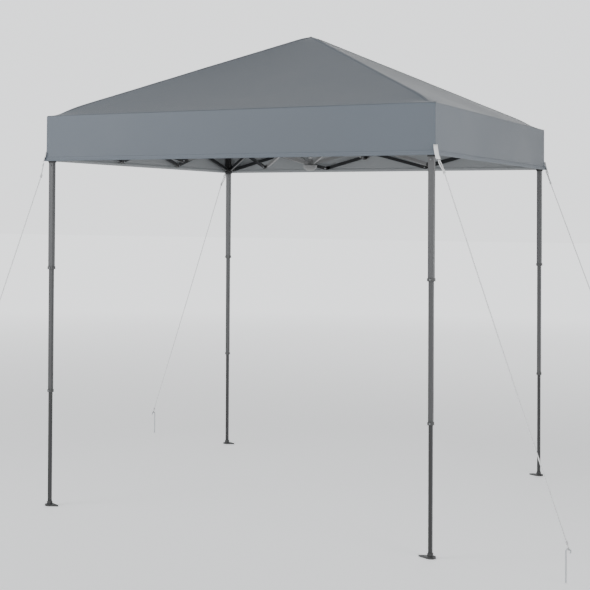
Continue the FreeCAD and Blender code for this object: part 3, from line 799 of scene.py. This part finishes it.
def spline_curve(name, route, diameter, material):
    """A round curve whose line is one NURBS spline."""
    curve = bpy.data.curves.new(name, "CURVE")
    curve.dimensions = "3D"
    curve.bevel_depth = diameter / 2
    curve.bevel_resolution = 3
    curve.resolution_u = 24
    curve.use_fill_caps = True
    spline = curve.splines.new("NURBS")
    spline.points.add(len(route) - 1)
    for point, place in zip(spline.points, route):
        point.co = (*place, 1.0)
    spline.order_u = 3
    spline.use_endpoint_u = True
    curve.materials.append(material)
    piece = bpy.data.objects.new(name, curve)
    bpy.context.scene.collection.objects.link(piece)
    return piece


def whipping(place, run, signs, length, radius, cord):
    """Turns of a thin cord wound round a rope, from a place along its run."""
    side = Vector((0, 1, 0))
    up = run.cross(side)
    path = []
    for k in range(WHIPPING_STEPS + 1):
        turn = 2 * math.pi * WHIPPING_TURNS * k / WHIPPING_STEPS
        radial = side * math.cos(turn) + up * math.sin(turn)
        path.append(at_corner(place + run * (length * k / WHIPPING_STEPS) + radial * radius, signs))
    return tube_along(path, cord, 8)


def make_lacing(corner, signs, run, materials):
    """The rope's laced loop round the ring, and the whipping that closes it."""
    start = STRAP_END
    loop_top = RING_PLACE + (start - RING_PLACE).normalized() * (RING_DROP - 0.0035)
    loop_run = start - loop_top
    # The loop is wide round the ring and narrow where it closes.
    lace = []
    for turn in circle(LACE_STEPS):
        spread = LACE_SPREAD * math.sin(turn) * (0.35 + 0.65 * (0.5 + 0.5 * math.cos(turn)))
        middle = loop_top + loop_run * (0.5 - 0.5 * math.cos(turn))
        lace.append(at_corner(middle + STRAP_ACROSS * spread, signs))
    loop = tube_along(lace, LACE_RADIUS, 8, closed=True)
    closing = whipping(start - run * 0.009, run, signs, length=0.016, radius=0.0043, cord=0.0019)
    points, faces = joined([loop, closing])
    lacing = mesh_piece("guy_lacing_" + corner, points, faces, [materials["strap"]], "upper_hub")
    return lacing


def make_eye(corner, signs, end, run, materials):
    """The rope's eye on the peg's hook, and its whipping."""
    hook_top = PEG + Vector((PEG_HOOK, 0, PEG_SHANK + PEG_HOOK))
    eye = []
    for turn in circle(EYE_STEPS):
        eye.append(at_corner(hook_top + Vector((0, math.sin(turn), math.cos(turn))) * EYE_HALF, signs))
    closing = whipping(end - run * 0.024, run, signs, length=0.014, radius=0.0038, cord=0.0018)
    points, faces = joined([tube_along(eye, EYE_CORD, 8, closed=True), closing])
    knot = mesh_piece("guy_eye_" + corner, points, faces, [materials["strap"]], "upper_hub")
    return knot


def make_peg(corner, signs, materials):
    """A wire peg: a straight shank that ends in a hook."""
    path = [PEG + Vector((0, 0, z)) for z in (0.004, 0.03, 0.07, 0.11, PEG_SHANK - 0.004)]
    for turn in circle(24)[:13]:
        bend = Vector((1 - math.cos(turn), 0, math.sin(turn))) * PEG_HOOK
        path.append(PEG + Vector((0, 0, PEG_SHANK)) + bend)
    path.append(PEG + Vector((2 * PEG_HOOK, 0, PEG_SHANK - 0.007)))
    points, faces = tube_along([at_corner(place, signs) for place in path], PEG_RADIUS, 14)
    peg = mesh_piece("guy_peg_" + corner, points, faces, [materials["peg"]], "upper_hub")
    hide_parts("guy_ropes_and_pegs")


def make_guy(corner, signs, materials):
    """One guy rope with its laced loop at the ring, its eye on the hook, and its peg."""
    route = rope_route()
    placed = [at_corner(place, signs) for place in route]
    rope = spline_curve("guy_rope_" + corner, placed, ROPE_DIAMETER, materials["rope"])
    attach(rope, "upper_hub")
    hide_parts("guy_ropes_and_pegs")
    run = (route[-1] - route[0]).normalized()
    lacing = make_lacing(corner, signs, run, materials)
    knot = make_eye(corner, signs, route[-1], run, materials)
    make_peg(corner, signs, materials)


# ==== Frame details ==========================================================================
def bar_ends(node, heading, cross):
    """The two end pivots of a bar that lies in the upright plane of a heading.  cross is the
    level direction square to that plane."""
    places = np.array([vertex.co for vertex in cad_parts[node].data.vertices], float)
    along = places @ np.array(heading)
    sideways = places @ np.array(cross)
    middle = (sideways.min() + sideways.max()) / 2
    low, high = along.min() + BAR_HALF, along.max() - BAR_HALF
    bottom, top = places[:, 2].min() + BAR_HALF, places[:, 2].max() - BAR_HALF
    falling = "falling" in node
    start = heading * low + cross * middle + Vector((0, 0, top if falling else bottom))
    end = heading * high + cross * middle + Vector((0, 0, bottom if falling else top))
    return start, end


def cap_shape(pivot, inward, cross, layer):
    """A moulded cap over a bar's end: pivot is the end pivot in the truss's middle plane,
    inward points along the bar, and layer is the side of the plane that the bar is on."""
    up = inward.cross(cross)
    half = BAR_HALF + CAP_WALL
    nose = CAP_LENGTH + CAP_BEVEL[0]
    shoulder = half - CAP_BEVEL[1]
    outline = [(-half * math.sin(turn), half * math.cos(turn)) for turn in circle(24)[:13]]
    outline += [(CAP_LENGTH, -half), (nose, -shoulder), (nose, shoulder), (CAP_LENGTH, half)]
    near, far = LAYER_NEAR + 0.0003, LAYER_FAR + CAP_WALL
    # Each ring's distance from the middle plane, and how far it is drawn in.
    rings = ((near, 0.0), (far - 0.001, 0.0), (far - 0.0003, 0.0004), (far, 0.0012))
    points = []
    for depth, inset in rings:
        shrink = 1.0 - inset / half
        for x, z in outline:
            along = x if x > 0 else x * shrink
            points.append(pivot + inward * along + up * (z * shrink) + cross * (layer * depth))
    count = len(outline)
    faces = grid_faces(len(rings), count, wrap=True)
    faces += [tuple(range(count))[::-1], tuple(range((len(rings) - 1) * count, len(rings) * count))]
    if layer < 0:
        faces = [face[::-1] for face in faces]
    return points, faces


def bolt_head(centre, axis):
    """A domed bolt head with a washer.  Radii are shares of the head's own."""
    profile = [
        (0, 0), (1.35, 0), (1.35, 0.0008), (1.0, 0.0009), (0.96, 0.002), (0.72, 0.0031),
        (0.36, 0.0037), (0, 0.0039),
    ]
    return turned_profile([(BOLT_RADIUS * share, height) for share, height in profile], centre, axis, 18)


def bar_details(node, heading, capped, materials):
    """Caps and bolts at a bar's ends that meet another bar.  capped says which ends."""
    cross = Vector((-heading.y, heading.x, 0))
    start, end = bar_ends(node, heading, cross)
    layer = -1 if "falling" in node else 1
    caps, bolts = [], []
    along = (end - start).normalized()
    for pivot, inward, wanted in ((start, along, capped[0]), (end, -along, capped[1])):
        if wanted:
            caps.append(cap_shape(pivot, inward, cross, layer))
            face = pivot + cross * layer * (LAYER_FAR + CAP_WALL - 0.0002)
            bolts.append(bolt_head(face, cross * layer))
    if not caps:
        return
    points, faces = joined(caps)
    cap = mesh_piece("caps_" + node, points, faces, [materials["cap"]], node, smooth=False)
    points, faces = joined(bolts)
    bolt = mesh_piece("bolts_" + node, points, faces, [materials["bolt"]], node)


def snap_button(name, centre, axis, body, materials):
    """A domed spring button that stands out of a collar or tube.  Radii are shares of its own."""
    dome = [(0, -0.001), (1.0, -0.001), (1.0, 0.0018), (0.85, 0.0032), (0.5, 0.0041), (0, 0.0045)]
    profile = [(SNAP_RADIUS * share, height) for share, height in dome]
    points, faces = turned_profile(profile, centre, axis, 20)
    button = mesh_piece(name, points, faces, [materials["bolt"]], body)


def make_leg_details(corner, signs, materials):
    """Snap buttons on the collars and under the slider."""
    out = Vector((0, signs[1], 0))
    buttons = (
        ("collar_button_upper_", sum(UPPER_COLLAR) / 2, OUTER_HALF + COLLAR_WALL, "leg_outer_"),
        ("collar_button_lower_", sum(LOWER_COLLAR) / 2, MIDDLE_HALF + COLLAR_WALL, "leg_middle_"),
        ("slider_button_", SLIDER_BUTTON, OUTER_HALF, "leg_outer_"),
    )
    for name, height, reach, body in buttons:
        centre = Vector((signs[0] * LEG, signs[1] * LEG, height)) + out * reach
        snap_button(name + corner, centre, out, body + corner, materials)


def dress_cad(materials):
    """Better materials for the CAD pieces that stay in sight, by how their names begin."""
    finishes = {
        "leg_slider": materials["slider"],
        "leg_outer": materials["leg_outer"],
        "leg_middle": materials["leg_middle"],
        "leg_lower": materials["leg_lower"],
        "diagonal_inner": materials["arm"],
        # The outer diagonals share the side bars' near-black coat, which is painted shade.
        "diagonal_outer": materials["side_bar"],
        "upper_hub": materials["crown"],
        "lower_hub": dome_material(),
    }
    finishes.update({side + "_bar": materials["side_bar"] for side in SIDES})
    for name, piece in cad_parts.items():
        for beginning, finish in finishes.items():
            if name.startswith(beginning):
                for slot in piece.material_slots:
                    slot.material = finish


def make_frame_details(materials):
    """Caps and bolts on every bar, and the buttons on every leg."""
    for side, heading in SIDES.items():
        for number in (1, 2, 3):
            for kind in ("falling", "climbing"):
                bar_details(f"{side}_bar_{number}_{kind}", heading, (number > 1, number < 3), materials)
    for corner, signs in CORNERS.items():
        heading = Vector((-signs[0], -signs[1], 0)).normalized()
        for kind in ("falling", "climbing"):
            bar_details(f"diagonal_outer_{kind}_{corner}", heading, (False, True), materials)
            bar_details(f"diagonal_inner_{kind}_{corner}", heading, (True, False), materials)
        make_leg_details(corner, signs, materials)


# ==== Stage ==================================================================================
CAMERA_PLACE = (2.6579, -6.2321, 1.4635)
CAMERA_YAW = -0.4934        # from +Y towards +X, in radians, as are pitch and roll
CAMERA_PITCH = 0.0135
CAMERA_ROLL = 0.0062
CAMERA_LENS = 77.60
CAMERA_SHIFT = (0.1695, -0.1695)


def make_camera():
    """The camera, at standing height off the front right corner."""
    data = bpy.data.cameras.new("camera")
    camera = bpy.data.objects.new("camera", data)
    bpy.context.scene.collection.objects.link(camera)
    data.sensor_width = 36.0
    data.lens = CAMERA_LENS
    data.shift_x, data.shift_y = CAMERA_SHIFT
    data.clip_end = 200.0
    level = math.cos(CAMERA_PITCH)
    forward = Vector((math.sin(CAMERA_YAW) * level, math.cos(CAMERA_YAW) * level, math.sin(CAMERA_PITCH)))
    turn = forward.to_track_quat("-Z", "Y") @ Matrix.Rotation(CAMERA_ROLL, 3, "Z").to_quaternion()
    camera.matrix_world = Matrix.Translation(CAMERA_PLACE) @ turn.to_matrix().to_4x4()
    bpy.context.scene.camera = camera


def area_light(name, place, target, size, power, color=WHITE):
    """A square light of a size, aimed at a target."""
    data = bpy.data.lights.new(name, "AREA")
    data.shape = "SQUARE"
    data.size = size
    data.energy = power
    data.color = color
    light = bpy.data.objects.new(name, data)
    light.location = place
    light.rotation_euler = (Vector(target) - Vector(place)).to_track_quat("-Z", "Y").to_euler()
    bpy.context.scene.collection.objects.link(light)


SKY_COLOR = (0.97, 0.985, 1.0, 1.0)
HORIZON_LIGHT = 1.7
OVERHEAD_LIGHT = 0.12
RIGHT_SHARE = 0.1           # of the sky's light that is left on the right
SKY_FADE = (0.2, 0.75)      # sines of the heights between which the sky dims
RIGHT_FADE = (0.0, 0.9)     # the same, towards the right
FLOOR_HALF = 60.0
FLOOR_GLOW = 0.5
FLOOR_FADE = (2.0, 12.0)    # distances over which the floor turns into the horizon's light


def make_floor():
    """A pale floor that glows and fades into the horizon's light."""
    graph = Graph("pale_floor")
    mottle = graph.noise(graph.place(), 0.7, 3.0)
    radius = graph.node("VectorMath", {0: graph.place()}, operation="LENGTH").outputs[1]
    far = graph.remap(radius, *FLOOR_FADE)
    color = graph.blend(far, graph.blend(mottle, grey(0.90), grey(0.93)), grey(0.0))
    glow = graph.weigh(far, FLOOR_GLOW, HORIZON_LIGHT)
    finish = graph.finish(color, 0.75, Emission_Color=SKY_COLOR, Emission_Strength=glow)
    corners = [Vector((x, y, 0)) * FLOOR_HALF for x, y in CORNERS.values()]
    floor = mesh_piece("floor", corners, [(0, 1, 2, 3)], [finish], None, smooth=False)


def faded(tree, value, start, end, at_start, at_end):
    """A number that runs between two values as another goes from start to end."""
    made = tree.nodes.new("ShaderNodeMapRange")
    tree.links.new(value, made.inputs["Value"])
    names = ("From Min", "From Max", "To Min", "To Max")
    for name, number in zip(names, (start, end, at_start, at_end)):
        made.inputs[name].default_value = number
    return made.outputs[0]


def make_sky():
    """Light that comes mostly from near the horizon, and little from above or the right."""
    world = bpy.data.worlds.new("studio")
    bpy.context.scene.world = world
    world.use_nodes = True
    tree = world.node_tree
    background = next(n for n in tree.nodes if n.type == "BACKGROUND")
    background.inputs["Color"].default_value = SKY_COLOR
    direction = tree.nodes.new("ShaderNodeTexCoord")
    parts = tree.nodes.new("ShaderNodeSeparateXYZ")
    tree.links.new(direction.outputs["Generated"], parts.inputs[0])
    height = faded(tree, parts.outputs[2], *SKY_FADE, HORIZON_LIGHT, OVERHEAD_LIGHT)
    sideways = faded(tree, parts.outputs[0], *RIGHT_FADE, 1.0, RIGHT_SHARE)
    strength = tree.nodes.new("ShaderNodeMath")
    strength.operation = "MULTIPLY"
    tree.links.new(height, strength.inputs[0])
    tree.links.new(sideways, strength.inputs[1])
    tree.links.new(strength.outputs[0], background.inputs["Strength"])


def make_lights():
    """A small key from the right, a broad fill from the left and a soft light from behind."""
    middle = (0, 0, 1.3)
    area_light("key", (3.2, -1.9, 2.6), (0.6, -0.8, 1.8), 1.2, 42, (0.97, 0.985, 1.0))
    area_light("fill", (-3.4, -4.0, 3.4), middle, 2.0, 120, (0.96, 0.98, 1.0))
    area_light("back", (-1.0, 7.0, 4.5), middle, 4.0, 60)


make_camera()
make_floor()
make_sky()
make_lights()
MATERIALS = make_materials()
for corner_name, corner_signs in CORNERS.items():
    make_strap(corner_name, corner_signs, MATERIALS)
    make_guy(corner_name, corner_signs, MATERIALS)
make_canopy(MATERIALS)
make_hip_tapes(MATERIALS)
make_hem(MATERIALS)
dress_cad(MATERIALS)
make_frame_details(MATERIALS)
